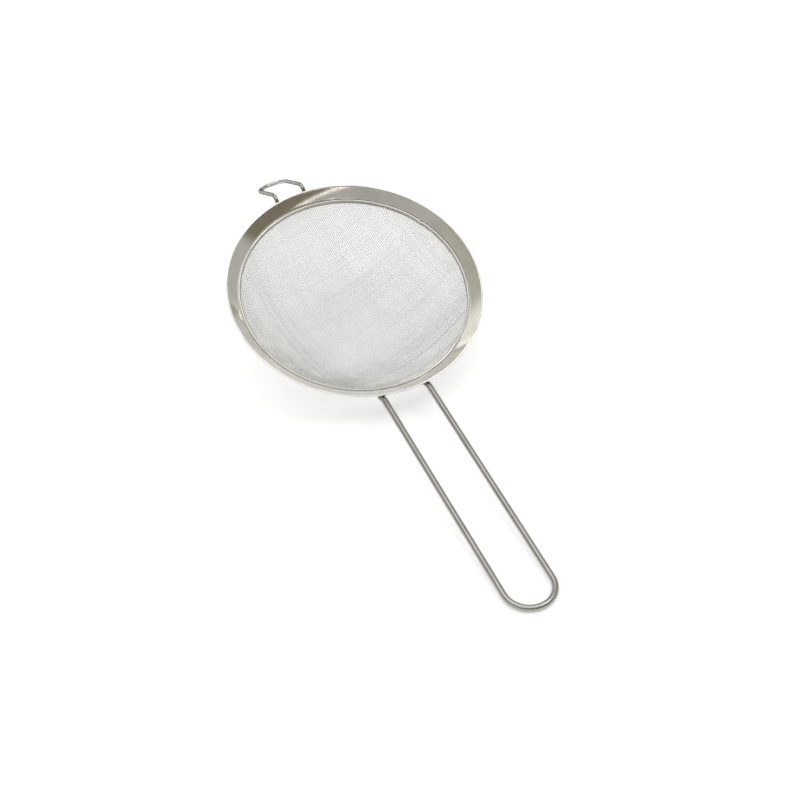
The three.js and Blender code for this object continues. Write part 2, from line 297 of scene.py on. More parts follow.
# %% [markdown]
# Polished steel shows the room more than it shows a colour, so the room is laid out by what each side of
# the rim shows. The near side is cream, because it faces a low white sweep beyond the strainer. The sides
# are olive and grey like plain walls. The far side faces the camera's end of the room, which is dark brown
# below and has a thin bright edge, the streak across that side of the rim. A soft light hangs overhead.

# %% Room
WALL_TONE = (0.45, 0.44, 0.385)
LEFT_TONE = (0.46, 0.455, 0.42)
FRONT_TONE = (0.45, 0.435, 0.415)
BACK_TONE = (0.27, 0.27, 0.26)
SWEEP_TONE = (0.86, 0.85, 0.77)
DARK_TONE = (0.21, 0.185, 0.138)
EDGE_TONE = (2.5, 2.43, 2.25)
CEILING_TONE = (1.45, 1.46, 1.46)

world = bpy.data.worlds.new("room")
bpy.context.scene.world = world
world.use_nodes = True
tree = world.node_tree
tree.nodes.clear()
ray = add(tree, "ShaderNodeTexCoord").outputs["Generated"]


def along_azimuth(degrees):
    return Vector((math.cos(math.radians(degrees)), math.sin(math.radians(degrees)), 0))


def facing(direction, low, high):
    """A soft mask of the part of the room that lies in one direction."""
    along = add(tree, "ShaderNodeVectorMath", {0: ray, 1: direction}, operation="DOT_PRODUCT")
    return soft_step(tree, along.outputs["Value"], low, high)


def higher(low, high):
    """A mask of the part of the room above an elevation, soft between two elevations in degrees."""
    return facing((0, 0, 1), math.sin(math.radians(low)), math.sin(math.radians(high)))


def both(first, second):
    return sum_of(tree, "MULTIPLY", first, second)


def other(mask):
    return sum_of(tree, "SUBTRACT", 1.0, mask)


def toned(share, first, second):
    """Lays a tone over another one by a mask."""
    made = add(tree, "ShaderNodeMix", {0: share}, data_type="RGBA")
    fill(tree, made.inputs[6], first)
    fill(tree, made.inputs[7], (*second, 1))
    return made.outputs[2]


camera_end = facing(along_azimuth(25), 0.62, 0.74)
overhead = Vector((-0.08, -0.13, 0.98)).normalized()
tone = toned(facing(along_azimuth(100), 0.30, 0.70), (*WALL_TONE, 1), LEFT_TONE)
tone = toned(facing(along_azimuth(-35), 0.35, 0.80), tone, FRONT_TONE)
tone = toned(both(facing(along_azimuth(160), 0.45, 0.80), higher(27, 36)), tone, BACK_TONE)
tone = toned(both(facing(along_azimuth(165), 0.48, 0.76), other(higher(27, 36))), tone, SWEEP_TONE)
tone = toned(both(camera_end, other(higher(26.6, 26.9))), tone, DARK_TONE)
tone = toned(both(camera_end, both(higher(26.6, 26.9), other(higher(27.1, 27.4)))), tone, EDGE_TONE)
tone = toned(facing(overhead, 0.75, 0.86), tone, CEILING_TONE)
room = add(tree, "ShaderNodeBackground", {"Color": tone})
white = add(tree, "ShaderNodeBackground", {"Color": (1, 1, 1, 1)})
rays = add(tree, "ShaderNodeLightPath").outputs
sky = add(tree, "ShaderNodeMixShader", {0: rays["Is Camera Ray"], 1: room.outputs[0], 2: white.outputs[0]})
add(tree, "ShaderNodeOutputWorld", {"Surface": sky.outputs[0]})
print("room:", len(tree.nodes), "nodes")

# %% [markdown]
# One soft lamp stands high to the camera's right. It is weak beside the room, and gives the shadows a side
# to fall to.

# %% Lamp
LAMP_AZIMUTH = 70
LAMP_RISE = math.radians(60)
LAMP_DISTANCE = 2.8

lamp = bpy.data.lights.new("ceiling", "AREA")
lamp.size = 0.9
lamp.energy = 7.0
lamp.color = (0.97, 0.985, 1.0)
towards = along_azimuth(LAMP_AZIMUTH) * math.cos(LAMP_RISE) + Vector((0, 0, math.sin(LAMP_RISE)))
stand = bpy.data.objects.new("ceiling", lamp)
stand.location = towards * LAMP_DISTANCE
stand.rotation_euler = towards.to_track_quat("Z", "Y").to_euler()
bpy.context.scene.collection.objects.link(stand)
print("lamp:", stand.name)

# %% [markdown]
# ## Effects that the steels share
# All of the strainer is stainless steel, and its pieces differ in how they were worked. Three effects are
# node groups, each placed in several steels with other values: fine lines from rolling, drawing or
# polishing; the dull marks of handling; and a colour round a weld, which is the straw colour of heat on
# the rim and on the weld metal, and painted shade, near black, on the handle and the hook where they run
# in under the rim. The lines read an attribute called brush, which every piece carries: it holds the
# distance along the lines and the two distances across them.

# %% Effect: fine lines
fine_lines, given, result = new_group(
    "fine lines",
    "ShaderNodeTree",
    [("Brush", "Vector", None), ("Stretch", "Vector", (0.1, 5, 5)), ("Contrast", "Float", 2.0)],
    [("Lines", "Float")],
)
tree = fine_lines
spread = add(tree, "ShaderNodeVectorMath", {0: given["Brush"], 1: given["Stretch"]}, operation="MULTIPLY")
grain = clouds(tree, spread.outputs[0], 1, 4, 0.65)[0]
centred = sum_of(tree, "SUBTRACT", grain, 0.5)
lines = add(tree, "ShaderNodeMath", {0: centred, 1: given["Contrast"], 2: 0.5}, operation="MULTIPLY_ADD")
lines.use_clamp = True
fill(fine_lines, result["Lines"], lines.outputs[0])
print("group:", fine_lines.name)

# %% Effect: marks of handling
MARK_SOFTNESS = 0.18

handling, given, result = new_group(
    "handling marks",
    "ShaderNodeTree",
    [("Place", "Vector", None), ("Size", "Float", 40.0), ("Cover", "Float", 0.5)],
    [("Marks", "Float")],
)
cloud = clouds(handling, given["Place"], given["Size"], 5, 0.6)[0]
edge = sum_of(handling, "SUBTRACT", 1.0, given["Cover"])
low = sum_of(handling, "SUBTRACT", edge, MARK_SOFTNESS)
high = sum_of(handling, "ADD", edge, MARK_SOFTNESS)
fill(handling, result["Marks"], soft_step(handling, cloud, low, high))
print("group:", handling.name)

# %% Effect: colour round a weld, straw from heat, painted shade on wires under the rim
FRAY_SCALE = 300
FRAY = 0.7

# A mask that fades with the distance from a weld. It lays the straw colour of heat on the rim and the weld
# metal, and painted shade on the handle and the hook where they run in under the rim.
near_weld_tint_and_shade, given, result = new_group(
    "weld colour and painted shade",
    "ShaderNodeTree",
    [("Place", "Vector", None), ("Weld", "Vector", None), ("Reach", "Float", 0.006)],
    [("Near weld", "Float")],
)
tree = near_weld_tint_and_shade
ragged = sum_of(tree, "SUBTRACT", clouds(tree, given["Place"], FRAY_SCALE, 2)[0], 0.5)
gap = add(tree, "ShaderNodeVectorMath", {0: given["Place"], 1: given["Weld"]}, operation="DISTANCE")
share = sum_of(tree, "DIVIDE", gap.outputs["Value"], given["Reach"])
frayed = sum_of(tree, "MULTIPLY_ADD", ragged, FRAY, share)
fill(tree, result["Near weld"], soft_step(tree, frayed, 1.0, 0.1))
print("group:", near_weld_tint_and_shade.name)

# %% [markdown]
# ## The steels
# One function makes a steel from those effects: a base colour that the marks and lines vary, a roughness
# between two values, a bump from the lines, and a colour round the welds that the piece meets: the straw
# of heat on the rim and the weld metal, and painted shade on the handle and the hook where they pass under
# the rim. The rim's sheet is the smoothest, the strip and the hook are a little duller, the handle and the
# cloth duller again, and the weld metal is rough.

# %% Where the welds are
def weld_middle(tip, corner, turn=Matrix.Identity(4)):
    """The middle of a weld at the tip of a wire, on the table."""
    return on_table @ turn @ (tip + (corner - tip).normalized())


def mirrored(point):
    return Vector((point.x, -point.y, point.z))


handle_welds = [
    weld_middle(handle_tip, handle_corner),
    weld_middle(mirrored(handle_tip), mirrored(handle_corner)),
]
hook_welds = [
    weld_middle(hook_tip, hook_corner, hook_turn),
    weld_middle(mirrored(hook_tip), mirrored(hook_corner), hook_turn),
]
print("welds", [[round(x, 4) for x in weld] for weld in handle_welds + hook_welds])

# %% A function for steel
STRAW = (0.42, 0.30, 0.17, 1)
# Near black: painted shade, laid on the handle and the hook where they run in under the rim.
PAINTED_SHADE_UNDER_RIM = (0.07, 0.06, 0.05, 1)
TINT_AND_SHADE_SHARE = 0.75
MARKS_IN_COLOUR = 0.45
MARKS_IN_HAZE = 0.6


def mixed(tree, share, first, second):
    """Mixes two colours by a mask."""
    made = add(tree, "ShaderNodeMix", data_type="RGBA")
    fill(tree, made.inputs[0], share)
    fill(tree, made.inputs[6], first)
    fill(tree, made.inputs[7], second)
    return made.outputs[2]


def blended(tree, marks, lines, share):
    """Adds up two masks, the first by its share and the second by the rest."""
    return sum_of(tree, "MULTIPLY_ADD", marks, share, sum_of(tree, "MULTIPLY", lines, 1 - share))


def steel(
    name, light, dark, smooth, rough, stretch, bump, marks, welds=(), reach=0.006, tint_and_shade=STRAW, edge=1.0
):
    """A steel with fine lines, marks of handling, and a colour round its welds: straw from heat on the rim
    and weld metal, painted shade on the wires.
    """
    material = bpy.data.materials.new(name)
    material.use_nodes = True
    tree = material.node_tree
    shader = tree.nodes["Principled BSDF"]
    shader.inputs["Metallic"].default_value = 1.0
    shader.inputs["Specular Tint"].default_value = (edge, edge, edge, 1)
    place = add(tree, "ShaderNodeTexCoord").outputs["Object"]
    brush = add(tree, "ShaderNodeAttribute", attribute_name="brush").outputs["Vector"]

    fine = add(tree, "ShaderNodeGroup", node_tree=fine_lines)
    fill(tree, fine.inputs["Brush"], brush)
    fill(tree, fine.inputs["Stretch"], stretch)
    worn = add(tree, "ShaderNodeGroup", node_tree=handling)
    fill(tree, worn.inputs["Place"], place)
    fill(tree, worn.inputs["Size"], marks[0])
    fill(tree, worn.inputs["Cover"], marks[1])
    lines, dull = fine.outputs["Lines"], worn.outputs["Marks"]

    colour = mixed(tree, blended(tree, dull, lines, MARKS_IN_COLOUR), (*light, 1), (*dark, 1))
    # Round each weld: the straw colour of heat on the rim and weld metal, painted shade on the handle and
    # hook.
    for weld in welds:
        near_weld_mask = add(tree, "ShaderNodeGroup", node_tree=near_weld_tint_and_shade)
        fill(tree, near_weld_mask.inputs["Place"], place)
        fill(tree, near_weld_mask.inputs["Weld"], weld)
        fill(tree, near_weld_mask.inputs["Reach"], reach)
        colour = mixed(tree, sum_of(tree, "MULTIPLY", near_weld_mask.outputs["Near weld"], TINT_AND_SHADE_SHARE), colour, tint_and_shade)
    fill(tree, shader.inputs["Base Color"], colour)

    haze = blended(tree, dull, lines, MARKS_IN_HAZE)
    fill(tree, shader.inputs["Roughness"], sum_of(tree, "MULTIPLY_ADD", haze, rough - smooth, smooth))
    relief = add(tree, "ShaderNodeBump", {"Height": lines, "Distance": bump * MM, "Strength": 1.0})
    fill(tree, shader.inputs["Normal"], relief.outputs[0])
    return material


print("steel ready")

# %% The steels of this strainer
SHEET_LINES = (0.9, 0.9, 6.0)
WIRE_LINES = (0.12, 5.0, 5.0)
rim_steel = steel(
    "satin pressed sheet", (0.95, 0.935, 0.895), (0.67, 0.655, 0.615), 0.04, 0.08,
    SHEET_LINES, 0.002, (45, 0.42), handle_welds + hook_welds, 0.0034,
)
ring_steel = steel(
    "folded bright strip", (0.66, 0.65, 0.62), (0.50, 0.49, 0.46), 0.12, 0.26, SHEET_LINES, 0.01, (70, 0.4),
)
# The handle and the hook take painted shade, near black, within the reach from their welds, where they run in
# under the rim.
handle_steel = steel(
    "drawn handle wire", (0.46, 0.45, 0.43), (0.34, 0.33, 0.315), 0.20, 0.32,
    WIRE_LINES, 0.010, (60, 0.45), handle_welds, 0.013, PAINTED_SHADE_UNDER_RIM, 1.0,
)
hook_steel = steel(
    "drawn hook wire", (0.68, 0.67, 0.66), (0.46, 0.45, 0.44), 0.08, 0.18,
    WIRE_LINES, 0.010, (80, 0.45), hook_welds, 0.018, PAINTED_SHADE_UNDER_RIM, 0.15,
)
cloth_steel = steel(
    "woven bright wire", (0.79, 0.79, 0.775), (0.68, 0.68, 0.665), 0.36, 0.48,
    (0.6, 3.0, 3.0), 0.004, (30, 0.5),
)
weld_steel = steel(
    "dull weld metal", (0.40, 0.38, 0.34), (0.22, 0.20, 0.17), 0.35, 0.6,
    (1.2, 1.2, 1.2), 0.08, (900, 0.5), handle_welds + hook_welds, 0.0022,
)
steels = (rim_steel, ring_steel, handle_steel, hook_steel, cloth_steel, weld_steel)
print("steels:", ", ".join(made.name for made in steels))

# %% [markdown]
# ## Rim
# The rim is pressed from sheet half a millimetre thick. It slopes towards the bowl, its outer edge is
# folded under so that nobody cuts a finger, and its inner edge is turned down as a collar round the clamp
# strip. A Screw modifier could turn the section, but the rim also has small bumps where the handle was
# welded on from below, so the section is turned in code and every point is pressed a little on its way.

# %% Helpers for outlines and turned sheet
BRUSH_ROUND = 8


def rounded(corners, turn=math.radians(15)):
    """Points along straight runs between corners, each corner rounded to its own radius."""
    points = [corners[0][0]]
    for (before, _), (corner, radius), (after, _) in zip(corners, corners[1:], corners[2:]):
        arriving = (corner - before).normalized()
        leaving = (after - corner).normalized()
        angle = arriving.angle(leaving)
        start = corner - arriving * (radius * math.tan(angle / 2))
        axis = arriving.cross(leaving).normalized()
        centre = start + axis.cross(arriving) * radius
        steps = max(2, math.ceil(angle / turn))
        for i in range(steps + 1):
            points.append(centre + Matrix.Rotation(angle * i / steps, 3, axis) @ (start - centre))
    points.append(corners[-1][0])
    return [p for i, p in enumerate(points) if i == 0 or (p - points[i - 1]).length > 1e-5]


def spaced(points, step):
    """The same line with extra points, so that no run is longer than a step."""
    line = [points[0]]
    for before, after in zip(points, points[1:]):
        parts = math.ceil((after - before).length / step - 1e-6)
        line += [before.lerp(after, i / parts) for i in range(1, parts + 1)]
    return line


def finished(mesh, name, material, slot, *nodes):
    """Puts a finished mesh into the scene in place of its solid."""
    if not mesh.materials:
        mesh.materials.append(material)
    made = bpy.data.objects.new(name, mesh)
    bpy.context.scene.collection.objects.link(made)
    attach(made, "root")
    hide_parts(*nodes)
    triangles = sum(len(p.vertices) - 2 for p in mesh.polygons)
    print(f"{name}: {triangles} triangles")


def turned(name, outline, facets, pressed):
    """Turns a closed outline about the rim's axis and presses each point."""
    count = len(outline) - 1
    lengths = [0.0]
    for before, after in zip(outline, outline[1:]):
        lengths.append(lengths[-1] + (after - before).length)
    vertices, brush, faces = [], [], []
    for j in range(facets):
        angle = 2 * math.pi * j / facets
        for i in range(count):
            radius, height = pressed(outline[i].x, outline[i].z, angle)
            vertices.append((radius * math.cos(angle), radius * math.sin(angle), height))
            brush += [BRUSH_ROUND * math.cos(angle), BRUSH_ROUND * math.sin(angle), lengths[i]]
            after, beside = (i + 1) % count, (j + 1) % facets
            faces.append((j * count + i, beside * count + i, beside * count + after, j * count + after))
    mesh = bpy.data.meshes.new(name)
    mesh.from_pydata(vertices, [], faces)
    mesh.attributes.new("brush", "FLOAT_VECTOR", "POINT").data.foreach_set("vector", brush)
    return tidied(mesh)


def tidied(mesh, place=on_table, sharp=math.radians(50)):
    """Turns all faces outwards, shades the mesh smoothly and takes it to its place."""
    shell = bmesh.new()
    shell.from_mesh(mesh)
    bmesh.ops.recalc_face_normals(shell, faces=shell.faces)
    shell.to_mesh(mesh)
    shell.free()
    mesh.shade_smooth()
    mesh.set_sharp_from_angle(angle=sharp)
    mesh.transform(place)
    mesh.update()
    return mesh


print("helpers ready")

# %% The rim's section
g = FOLD_GAP / 2
collar_end = rim_bend + down_collar * COLLAR_DEPTH
mitre = SHEET_THICKNESS / (1 - above.dot(out_of_collar))
flange_start = rim_bend - inwards * (FLANGE_WIDTH / 2)
flange_corners = [
    (flange_start, 0),
    (rim_bend, 0.7),
    (collar_end, 0.12),
    (collar_end + out_of_collar * SHEET_THICKNESS, 0.12),
    (rim_bend + (out_of_collar - above) * mitre, 0.25),
    (fold_centre + above * g - inwards * g, g),
    (fold_centre - above * g - inwards * g, g),
    (fold_centre + inwards * FOLDED_WIDTH - above * g, 0.1),
    (fold_centre + inwards * FOLDED_WIDTH - above * FOLD_HALF, 0.1),
    (fold_centre - above * FOLD_HALF - inwards * FOLD_HALF, FOLD_HALF),
    (fold_centre + above * FOLD_HALF - inwards * FOLD_HALF, FOLD_HALF),
    (flange_start, 0),
]
flange_outline = spaced(rounded(flange_corners), 0.75)
print(len(flange_outline), "points in the rim's section")

# %% The rim
RIM_FACETS = 432
FLANGE_HOLLOW = 0.076
SHEET_WAVE = 0.03
SHEET_WAVES_PER_MM = 0.04
BUMP_HEIGHT = 0.3
BUMP_WIDTH = 1.1
BUMP_INWARDS = 0.6
SEAM_ANGLE = math.radians(120.5)
DENT_DEPTH = 0.1
DENT_WIDTH = 1.8
DENT_OUTWARDS = 1.8
weld_spot = handle_tip + inwards * BUMP_INWARDS
seam_spot = Matrix.Rotation(SEAM_ANGLE, 3, "Z") @ (rim_bend - inwards * DENT_OUTWARDS)
press_marks = [
    (weld_spot, BUMP_HEIGHT, BUMP_WIDTH),
    (mirrored(weld_spot), BUMP_HEIGHT, BUMP_WIDTH),
    (seam_spot, -DENT_DEPTH, DENT_WIDTH),
]


def pressed_rim(radius, height, angle):
    """A hollow across the flange, bumps over the handle's welds, a dent, and the waves of pressed sheet."""
    x, y = radius * math.cos(angle), radius * math.sin(angle)
    from_bend = Vector((radius, 0, height)) - rim_bend
    across = -from_bend.dot(inwards) / FLANGE_WIDTH
    top_layer = from_bend.dot(above) > -SHEET_THICKNESS - FOLD_GAP / 2
    uneven = SHEET_WAVE * noise.noise(Vector((x, y, 0)) * SHEET_WAVES_PER_MM)
    if not top_layer or not 0 < across < 1:
        return radius, height + uneven
    hollow = 4 * FLANGE_HOLLOW * across * (1 - across)
    bump = 0.0
    for spot, rise, width in press_marks:
        bump += rise * math.exp(-((x - spot.x) ** 2 + (y - spot.y) ** 2) / (2 * width**2))
    return radius, height + uneven - hollow + bump


rim_mesh = turned("rim", flange_outline, RIM_FACETS, pressed_rim)
finished(rim_mesh, "rim", rim_steel, "rim_steel", "rim_flange")

# %% [markdown]
# ## Clamp strip
# The cut edge of the cloth is held in a narrow strip folded over it, which sits inside the rim's collar.
# From above only its rounded crown and inner leg show, as a bright line and a darker band round the cloth.
# The strip was rolled from a straight length, and a small notch on the far right shows where its two ends
# meet. It is turned from its section in the same way as the rim.

# %% The clamp strip
ROLLER_WAVE = 0.04
ROLLER_WAVES_PER_MM = 0.15
PINCH_DEPTH = 0.1
PINCH_WIDTH = 5
NOTCH_DEPTH = 1.0
NOTCH_WIDTH = 0.9
leg = CLOTH_GRIP - LEG_STOP


def strip_point(side, depth):
    """A point of the strip's section, square to the wall and down it from the edge of the cloth."""
    return cloth_edge + out_of_collar * side + down_collar * depth


strip_corners = [
    (strip_point(RING_HALF, leg / 2), 0),
    (strip_point(RING_HALF, -RING_HALF), RING_HALF * 0.999),
    (strip_point(-RING_HALF, -RING_HALF), RING_HALF * 0.999),
    (strip_point(-RING_HALF, leg), 0.1),
    (strip_point(-CHANNEL_HALF, leg), 0.1),
    (strip_point(-CHANNEL_HALF, -CHANNEL_HALF), CHANNEL_HALF * 0.999),
    (strip_point(CHANNEL_HALF, -CHANNEL_HALF), CHANNEL_HALF * 0.999),
    (strip_point(CHANNEL_HALF, leg), 0.1),
    (strip_point(RING_HALF, leg), 0.1),
    (strip_point(RING_HALF, leg / 2), 0),
]


def pressed_strip(radius, height, angle):
    """The strip follows the rim with small waves from its rollers, and has a notch where its ends meet."""
    spot = Vector((radius * math.cos(angle), radius * math.sin(angle), 3))
    wave = ROLLER_WAVE * noise.noise(spot * ROLLER_WAVES_PER_MM)
    from_seam = (angle - SEAM_ANGLE) * radius
    pinch = PINCH_DEPTH * math.exp(-(from_seam / PINCH_WIDTH) ** 2)
    notch = NOTCH_DEPTH * math.exp(-(from_seam / NOTCH_WIDTH) ** 2)
    return radius - pinch, height + wave - notch


strip_mesh = turned("clamp_strip", rounded(strip_corners), RIM_FACETS, pressed_strip)
finished(strip_mesh, "clamp_strip", ring_steel, "ring_steel", "clamp_ring")

# %% [markdown]
# ## Handle and hook
# Each is one length of drawn wire, bent to shape. A curve with a bevel would do, but a small Geometry Nodes
# tree makes a wire along any route and also writes the brush attribute, so that the lines of drawing run
# along the wire and round every bend.

# %% A tree for a wire along a route
wire_tree, given, result = new_group(
    "wire along a route",
    "GeometryNodeTree",
    [
        ("Route", "Geometry", None),
        ("Diameter", "Float", 4.0),
        ("Sides", "Int", 20),
        ("Steel", "Material", None),
    ],
    [("Wire", "Geometry")],
)


def noted(tree, geometry, name, value, kind="FLOAT"):
    """Stores a named attribute on a geometry."""
    made = add(tree, "GeometryNodeStoreNamedAttribute", {"Name": name}, data_type=kind, domain="POINT")
    fill(tree, made.inputs["Geometry"], geometry)
    fill(tree, made.inputs["Value"], value)
    return made.outputs[0]


def brushed(tree, geometry):
    """Joins the distance along a wire and the place round it into the brush attribute."""
    along = add(tree, "GeometryNodeInputNamedAttribute", {"Name": "along"}, data_type="FLOAT").outputs[0]
    ring = add(tree, "GeometryNodeInputNamedAttribute", {"Name": "ring"}, data_type="FLOAT_VECTOR").outputs[0]
    spot = add(tree, "ShaderNodeSeparateXYZ", {0: ring}).outputs
    brush = add(tree, "ShaderNodeCombineXYZ", {0: along, 1: spot[0], 2: spot[1]}).outputs[0]
    stored = noted(tree, geometry, "brush", brush, "FLOAT_VECTOR")
    for name in ("along", "ring"):
        stored = add(tree, "GeometryNodeRemoveAttribute", {0: stored, "Name": name}).outputs[0]
    return stored


def round_wire(tree, curve, diameter, sides, material):
    """A round wire along a curve, with its brush attribute and its steel."""
    along = add(tree, "GeometryNodeSplineParameter").outputs["Length"]
    curve = noted(tree, curve, "along", along)
    radius = sum_of(tree, "MULTIPLY", diameter, 0.5)
    ring = add(tree, "GeometryNodeCurvePrimitiveCircle", {"Resolution": sides, "Radius": radius}).outputs[0]
    ring = noted(tree, ring, "ring", add(tree, "GeometryNodeInputPosition").outputs[0], "FLOAT_VECTOR")
    body = add(tree, "GeometryNodeCurveToMesh", {"Curve": curve, "Profile Curve": ring, "Fill Caps": True})
    real = add(tree, "GeometryNodeRealizeInstances", {0: brushed(tree, body.outputs[0])}).outputs[0]
    return add(tree, "GeometryNodeSetMaterial", {"Geometry": real, "Material": material}).outputs[0]


line = add(wire_tree, "GeometryNodeMeshToCurve", {"Mesh": given["Route"]}).outputs[0]
wire = round_wire(wire_tree, line, given["Diameter"], given["Sides"], given["Steel"])
fill(wire_tree, result["Wire"], wire)
print("tree:", wire_tree.name, len(wire_tree.nodes), "nodes")

# %% From a tree to a plain mesh
def grown(tree, name, start, values, place):
    """Runs a tree on a starting mesh with named values, and gives the result as a plain mesh in its place."""
    carrier = bpy.data.objects.new(name + ".start", start)
    bpy.context.scene.collection.objects.link(carrier)
    modifier = carrier.modifiers.new("tree", "NODES")
    modifier.node_group = tree
    sockets = {s.name: s.identifier for s in tree.interface.items_tree if s.in_out == "INPUT"}
    for title, value in values.items():
        modifier[sockets[title]] = value
    graph = bpy.context.evaluated_depsgraph_get()
    mesh = bpy.data.meshes.new_from_object(carrier.evaluated_get(graph))
    carrier.modifiers.remove(modifier)
    bpy.data.objects.remove(carrier)
    mesh.name = name
    return tidied(mesh, place)


def route_mesh(name, points):
    mesh = bpy.data.meshes.new(name)
    mesh.from_pydata(points, [(i, i + 1) for i in range(len(points) - 1)], [])
    return mesh


print("grown ready")

# %% The handle
BEND_TURN = math.radians(5)
handle_route = spaced(rounded(handle_corners, BEND_TURN), 6.0)
handle_values = {"Diameter": HANDLE_WIRE, "Sides": 28, "Steel": handle_steel}
handle_mesh = grown(wire_tree, "handle", route_mesh("handle_route", handle_route), handle_values, on_table)
finished(handle_mesh, "handle", handle_steel, "handle_steel", "handle_wire")

# %% The hook
hook_route = spaced(rounded(hook_corners, BEND_TURN), 3.0)
hook_values = {"Diameter": HOOK_WIRE, "Sides": 24, "Steel": hook_steel}
hook_mesh = grown(wire_tree, "hook", route_mesh("hook_route", hook_route), hook_values, on_table @ hook_turn)
finished(hook_mesh, "hook", hook_steel, "hook_steel", "rest_hook")

# %% [markdown]
# ## Welds
# Under the rim each tip of a wire lies in a small puddle of weld metal. It froze in ripples from the middle
# outwards, and its edge is uneven. Each bead starts as a ball of even triangles that is flattened against
# the rim, then rippled and roughened.

# %% The welds
WELD_LENGTH = 4.6
WELD_FRONT = 1.3
WELD_SPREAD = 1.0
WELD_SHARE = 0.8
WELD_TOP_SHARE = 0.35
RIPPLE_HEIGHT = 0.03
RIPPLE_TURNS = 17
LUMP_HEIGHT = 0.10
LUMP_SCALE = 1.7


def weld_bead(name, tip, corner, diameter, place, seed):
    """A flattened bead of weld metal round the tip of a wire."""
    radius = diameter / 2
    along = (corner - tip).normalized()
    across = Vector((0, 1, 0))
    up = along.cross(across)
    middle = tip + along * (WELD_LENGTH / 2 - WELD_FRONT) + up * radius
    depth = radius * WELD_SHARE + WIRE_CLEARANCE
    ball = bmesh.new()
    bmesh.ops.create_icosphere(ball, subdivisions=5, radius=1)
    brush = ball.verts.layers.float_vector.new("brush")
    for v in ball.verts:
        spot = v.co.copy()
        reach = math.hypot(spot.x, spot.y)
        bent = 2 * noise.noise(spot * 2 + Vector((seed, 0, 0)))
        ripple = RIPPLE_HEIGHT * math.sin(reach * RIPPLE_TURNS + bent)
        lumps = LUMP_HEIGHT * noise.noise(spot * LUMP_SCALE + Vector((0, seed, 0)))
        swell = 1 + lumps + (ripple if spot.z < 0 else 0)
        v[brush] = spot * 3
        flat = spot.z if spot.z < 0 else spot.z * WELD_TOP_SHARE
        size = Vector((WELD_LENGTH / 2, radius + WELD_SPREAD, depth))
        v.co = middle + (along * spot.x * size.x + across * spot.y * size.y + up * flat * size.z) * swell
    mesh = bpy.data.meshes.new(name)
    ball.to_mesh(mesh)
    ball.free()
    return tidied(mesh, place)


weld_rows = (
    ("handle_weld_right", handle_tip, handle_corner, HANDLE_WIRE, on_table, 1),
    ("handle_weld_left", mirrored(handle_tip), mirrored(handle_corner), HANDLE_WIRE, on_table, 2),
    ("hook_weld_right", hook_tip, hook_corner, HOOK_WIRE, on_table @ hook_turn, 3),
    ("hook_weld_left", mirrored(hook_tip), mirrored(hook_corner), HOOK_WIRE, on_table @ hook_turn, 4),
)
for row in weld_rows:
    finished(weld_bead(*row), row[0] + "_bead", weld_steel, "weld_steel", row[0])

# %% [markdown]
# ## Woven bowl
# The bowl is plain-woven wire cloth, pressed from a flat disc. A picture of a weave on a smooth bowl would
# look flat from close by and would not let the table show through, so every wire is modelled. One tree lays
# a family of parallel wires on the flat disc, cuts the disc round, lifts each wire over and under those
# that it crosses, lets it waver a little, and presses it into the bowl: the distance from the middle of the
# disc becomes the distance along the bowl's wall. The two families, warp and weft, cross at right angles,
# are turned a little from the handle, and are not set equally close. A whole family has too many triangles
# for one piece, so the tree runs once for each half of each family.

# %% A tree for one family of wires
cloth_tree, given, result = new_group(
    "woven bowl",
    "GeometryNodeTree",
    [
        ("Start", "Geometry", None),
        ("Pitch", "Float", 1.2),
        ("Crossing pitch", "Float", 1.2),
        ("Wire", "Float", 0.35),
        ("First wire", "Int", -65),
        ("Wires", "Int", 65),
        ("Crossings", "Int", 135),
        ("Disc", "Float", 84.0),
        ("Mouth", "Float", 82.0),
        ("Bowl radius", "Float", 85.0),
        ("Turn", "Float", 0.0),
        ("Over first", "Float", 1.0),
        ("Waver", "Float", 0.1),
        ("Steel", "Material", None),
    ],
    [("Cloth", "Geometry")],
)
t = cloth_tree
pitch, step = given["Pitch"], given["Crossing pitch"]
half_run = sum_of(t, "MULTIPLY", sum_of(t, "SUBTRACT", given["Crossings"], 0.5), 0.5)
first_row = add(t, "ShaderNodeCombineXYZ", {1: sum_of(t, "MULTIPLY", given["First wire"], pitch)})
next_row = add(t, "ShaderNodeCombineXYZ", {1: pitch})
rows = add(t, "GeometryNodeMeshLine", {"Count": given["Wires"]})
fill(t, rows.inputs["Start Location"], first_row.outputs[0])
fill(t, rows.inputs["Offset"], next_row.outputs[0])
reach = sum_of(t, "MULTIPLY", half_run, step)
start = add(t, "ShaderNodeCombineXYZ", {0: sum_of(t, "MULTIPLY", reach, -1)}).outputs[0]
stop = add(t, "ShaderNodeCombineXYZ", {0: reach}).outputs[0]
one = add(t, "GeometryNodeCurvePrimitiveLine", {"Start": start, "End": stop}).outputs[0]
samples = sum_of(t, "MULTIPLY", given["Crossings"], 2)
one = add(t, "GeometryNodeResampleCurve", {"Curve": one, "Count": samples}).outputs[0]
laid = add(t, "GeometryNodeInstanceOnPoints", {"Points": rows.outputs[0], "Instance": one}).outputs[0]
laid = add(t, "GeometryNodeRealizeInstances", {0: laid}).outputs[0]
print("rows of wire laid flat")

# %% The round cut, the weave and the pressing
BENDS_PER_MM = 0.09

place = add(t, "GeometryNodeInputPosition").outputs[0]
flat = add(t, "ShaderNodeSeparateXYZ", {0: place}).outputs
squares = sum_of(t, "MULTIPLY_ADD", flat[0], flat[0], sum_of(t, "MULTIPLY", flat[1], flat[1]))
from_middle = sum_of(t, "SQRT", squares)
outside = sum_of(t, "GREATER_THAN", from_middle, given["Disc"])
disc = add(t, "GeometryNodeDeleteGeometry", {"Geometry": laid, "Selection": outside}, domain="POINT")

